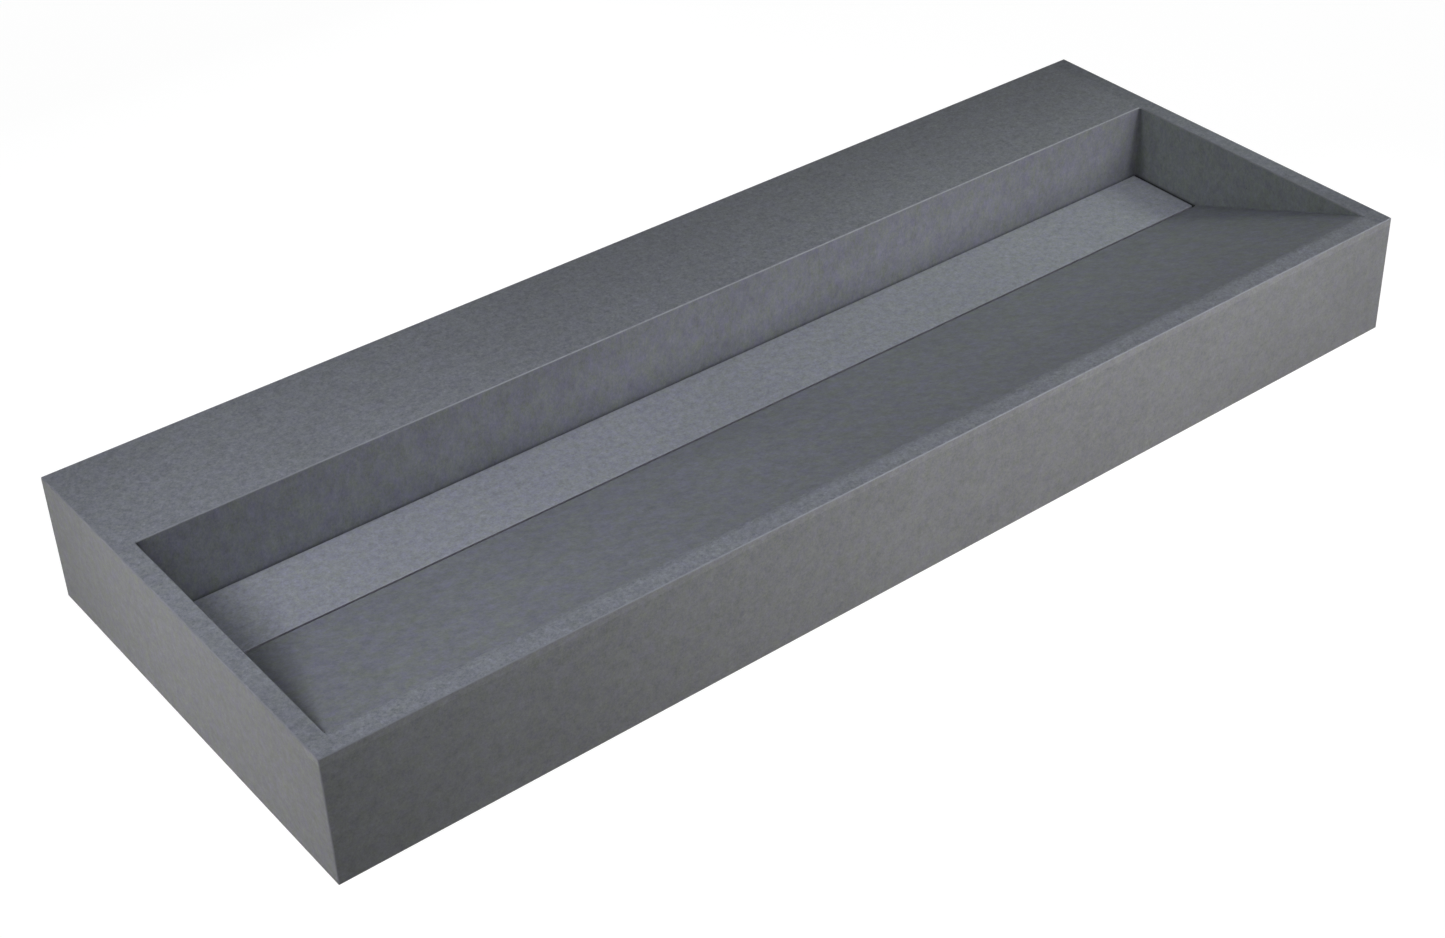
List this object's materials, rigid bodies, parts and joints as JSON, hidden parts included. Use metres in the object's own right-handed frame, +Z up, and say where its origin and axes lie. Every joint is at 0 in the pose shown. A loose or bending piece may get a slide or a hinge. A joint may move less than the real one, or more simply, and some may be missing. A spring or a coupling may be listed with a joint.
{
  "type": "trough sink",
  "caption": "Wall-hung cast concrete trough sink with a plain deck, a ramp falling to a loose cover slab over a hidden channel, and a grid waste below.",
  "frame": {"origin": "middle of the flat rear face, on the wall plane, half-way between the rim and the base", "axes": "+Z up, +X along the length to the user's right, +Y into the wall, so the front lies at -Y"},
  "size_m": [1.2, 0.457, 0.2681],
  "materials": {
    "concrete": "matte cast glass-fibre concrete, sealed",
    "cover_concrete": "matte cast glass-fibre concrete, sealed",
    "anchor_steel": "zinc-plated steel",
    "clear_silicone": "translucent silicone",
    "chrome": "polished chrome on brass",
    "seal_foam": "closed-cell foam",
    "raw_brass": "as-machined brass",
    "black_rubber": "matte moulded rubber",
    "white_plastic": "natural polyethylene",
    "nut_brass": "cast and machined brass",
    "tail_chrome": "polished chrome on brass tube"
  },
  "bodies": {
    "sink": {"basin": "concrete", "anchor_plates": "anchor_steel", "strainer_flange": "chrome", "flange_seal": "seal_foam", "drain_body": "raw_brass", "basin_gasket": "black_rubber", "friction_washer": "white_plastic", "lock_nut": "nut_brass", "tailpiece": "tail_chrome"},
    "cover": {"drain_cover": "cover_concrete", "cover_bumpers": "clear_silicone"}
  },
  "joints": [
    {"name": "cover_lift", "type": "slide", "parent": "sink", "child": "cover", "axis": [0, 0, 1], "range_m": [0, 0.15]}
  ]
}
